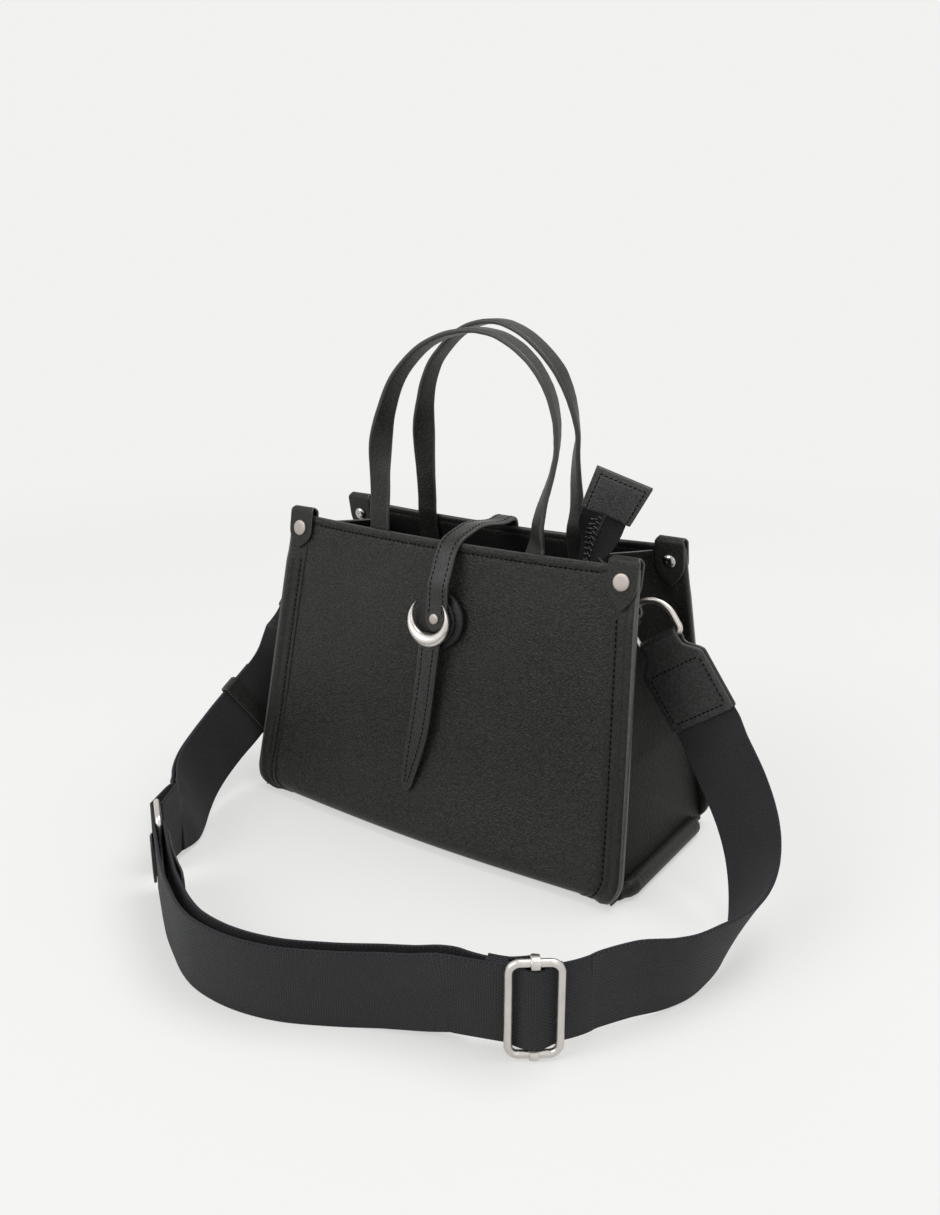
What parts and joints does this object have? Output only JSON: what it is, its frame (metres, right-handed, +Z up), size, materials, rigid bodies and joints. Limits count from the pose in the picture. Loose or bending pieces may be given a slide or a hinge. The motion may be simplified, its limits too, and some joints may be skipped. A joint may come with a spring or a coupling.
{
  "type": "top handle bag",
  "caption": "Small structured top handle bag with sloped sides, two strap handles, a strap closure with a crescent fitting and a webbing shoulder strap.",
  "frame": {"origin": "centre of the base, on the surface the bag stands on", "axes": "+X to the right seen from the front, +Y to the back, +Z up"},
  "size_m": [0.372, 0.2861, 0.2917],
  "materials": {
    "leather": "fine pebble grain, soft sheen",
    "leather_trim": "smooth, painted edges",
    "lining": "woven",
    "board": "matt stiffening board",
    "webbing": "ribbed woven nylon",
    "zip_tape": "fine twill tape",
    "zip_metal": "dark satin metal",
    "nickel": "warm satin nickel"
  },
  "bodies": {
    "bag": {"front_panel": "leather", "back_panel": "leather", "left_gusset": "leather", "right_gusset": "leather", "base_panel": "leather", "base_board": "board", "lining": "lining", "front_bindings": "leather_trim", "back_bindings": "leather_trim", "base_piping": "leather_trim", "front_left_corner_tab": "leather_trim", "front_right_corner_tab": "leather_trim", "back_left_corner_tab": "leather_trim", "back_right_corner_tab": "leather_trim", "corner_rivets": "nickel", "front_handle_ends": "leather", "back_handle_ends": "leather", "closure_strap_base": "leather", "snap_puck": "leather_trim", "snap_magnet_fixed": "nickel", "zip_tape_front": "zip_tape", "zip_tape_back": "zip_tape", "zip_teeth_front": "zip_metal", "zip_teeth_back": "zip_metal", "zip_tail_tape": "zip_tape", "zip_tail_teeth": "zip_metal", "zip_end_tab": "leather_trim", "left_d_ring_tab": "leather", "right_d_ring_tab": "leather", "short_webbing": "webbing", "long_webbing": "webbing", "strap_ring": "nickel", "ring_tab": "leather_trim"},
    "front_handle": {"front_handle": "leather"},
    "back_handle": {"back_handle": "leather"},
    "closure": {"closure_strap": "leather", "closure_backing": "leather_trim", "closure_tab": "leather", "crescent": "nickel", "closure_rivet": "nickel", "snap_magnet_moving": "nickel"},
    "zip_slider": {"zip_slider": "zip_metal"},
    "zip_pull": {"zip_pull": "zip_metal"},
    "left_d_ring": {"left_d_ring": "nickel"},
    "right_d_ring": {"right_d_ring": "nickel"},
    "left_chape": {"left_chape": "leather", "left_strap_riser": "webbing"},
    "right_chape": {"right_chape": "leather", "right_strap_riser": "webbing"},
    "strap_slider": {"slider_frame": "nickel", "slider_bar": "nickel", "webbing_fold_end": "webbing"},
    "keeper": {"keeper": "leather_trim"}
  },
  "joints": [
    {"name": "front_handle_swing", "type": "hinge", "parent": "bag", "child": "front_handle", "pos_m": [0, -0.02355, 0.182], "axis": [1, 0, 0], "range_deg": [-4, 120]},
    {"name": "back_handle_swing", "type": "hinge", "parent": "bag", "child": "back_handle", "pos_m": [0, 0.02355, 0.182], "axis": [-1, 0, 0], "range_deg": [-4, 120]},
    {"name": "closure_lift", "type": "hinge", "parent": "bag", "child": "closure", "pos_m": [0, 0.02949, 0.1813], "axis": [-1, 0, 0], "range_deg": [0, 90]},
    {"name": "zip_slider_run", "type": "slide", "parent": "bag", "child": "zip_slider", "axis": [0.2756, 0, 0.9613], "range_m": [0, 0.014]},
    {"name": "zip_pull_swing", "type": "hinge", "parent": "zip_slider", "child": "zip_pull", "pos_m": [0.06671, -0.00336, 0.15418], "axis": [-0.7874, 0.5736, 0.2258], "range_deg": [0, 150]},
    {"name": "right_d_ring_swing", "type": "hinge", "parent": "bag", "child": "right_d_ring", "pos_m": [0.10495, 0, 0.1485], "axis": [0.8192, 0, 0.5736], "range_deg": [-15, 15]},
    {"name": "left_d_ring_swing", "type": "hinge", "parent": "bag", "child": "left_d_ring", "pos_m": [-0.10495, 0, 0.1485], "axis": [-0.8192, 0, 0.5736], "range_deg": [-15, 15]},
    {"name": "right_chape_swing", "type": "hinge", "parent": "right_d_ring", "child": "right_chape", "pos_m": [0.11791, 0, 0.12999], "axis": [0.8192, 0, 0.5736], "range_deg": [-12, 12], "deforming": ["right_strap_riser"]},
    {"name": "left_chape_swing", "type": "hinge", "parent": "left_d_ring", "child": "left_chape", "pos_m": [-0.11791, 0, 0.12999], "axis": [-0.8192, 0, 0.5736], "range_deg": [-12, 12], "deforming": ["left_strap_riser"]},
    {"name": "strap_slider_run", "type": "hinge", "parent": "bag", "child": "strap_slider", "pos_m": [0.117, -0.133, 0.02485], "axis": [0, 0, 1], "range_deg": [-4, 18]},
    {"name": "keeper_run", "type": "slide", "parent": "bag", "child": "keeper", "axis": [0, 0.8638, 0.5039], "range_m": [-0.008, 0.008]}
  ]
}
